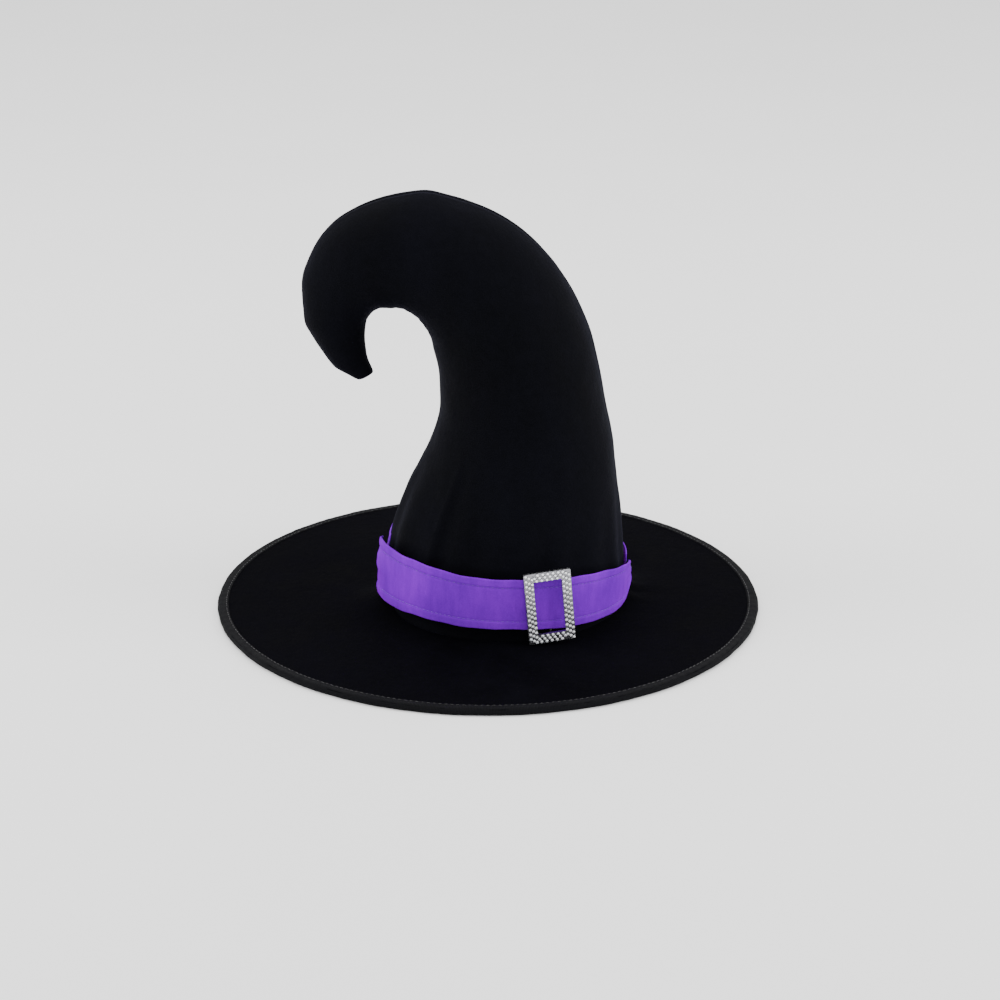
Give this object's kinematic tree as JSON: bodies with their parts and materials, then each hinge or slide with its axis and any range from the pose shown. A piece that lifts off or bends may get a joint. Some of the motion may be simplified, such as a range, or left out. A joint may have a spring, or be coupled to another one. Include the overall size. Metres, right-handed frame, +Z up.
{
  "type": "witch hat",
  "caption": "Black velvet witch hat with a curled, filled crown, a wired round brim, and a purple satin band that carries a sliding stone-set buckle.",
  "frame": {"origin": "centre of the brim's circle, on the surface the hat stands on", "axes": "+Z up, -Y towards the side with the buckle, the crown curls over towards -X"},
  "size_m": [0.4399, 0.44, 0.3383],
  "materials": {
    "velvet": "matte",
    "filling": "matte",
    "foam": "matte",
    "lining": "satin",
    "ribbon": "matte",
    "brim_board": "matte",
    "binding_tape": "matte",
    "thread": "satin",
    "hoop_steel": "satin",
    "purple_satin": "satin",
    "purple_thread": "satin",
    "silver": "polished",
    "clear_stone": "polished"
  },
  "bodies": {
    "hat": {"crown_front_panel": "velvet", "crown_rear_panel": "velvet", "crown_front_foam": "foam", "crown_rear_foam": "foam", "head_liner": "lining", "lower_filling": "filling", "neck_filling": "filling", "sweatband": "ribbon", "sweatband_stitches": "thread", "brim_under_cover": "velvet", "brim_stiffener": "brim_board", "brim_top_cover": "velvet", "brim_binding": "binding_tape", "binding_stitches": "thread", "brim_wire": "hoop_steel", "brim_wire_sleeve": "hoop_steel", "hat_band_front": "purple_satin", "hat_band_rear": "purple_satin", "hat_band_stitches": "purple_thread", "band_side_tacks": "purple_thread"},
    "curl": {"curl_filling": "filling"},
    "buckle": {"buckle_frame": "silver", "buckle_centre_bar": "silver", "buckle_stones": "clear_stone"}
  },
  "joints": [
    {"name": "curl_nod", "type": "hinge", "parent": "hat", "child": "curl", "pos_m": [-0.0191, 0, 0.27689], "axis": [0, -1, 0], "range_deg": [-12, 12], "stiffness_Nm_per_rad": 3, "deforming": ["crown_front_panel", "crown_rear_panel", "neck_filling"]},
    {"name": "buckle_slide", "type": "hinge", "parent": "hat", "child": "buckle", "pos_m": [0.013, 0, 0.0385], "axis": [0.0489, 0, 0.9988], "range_deg": [-64, 9]}
  ]
}
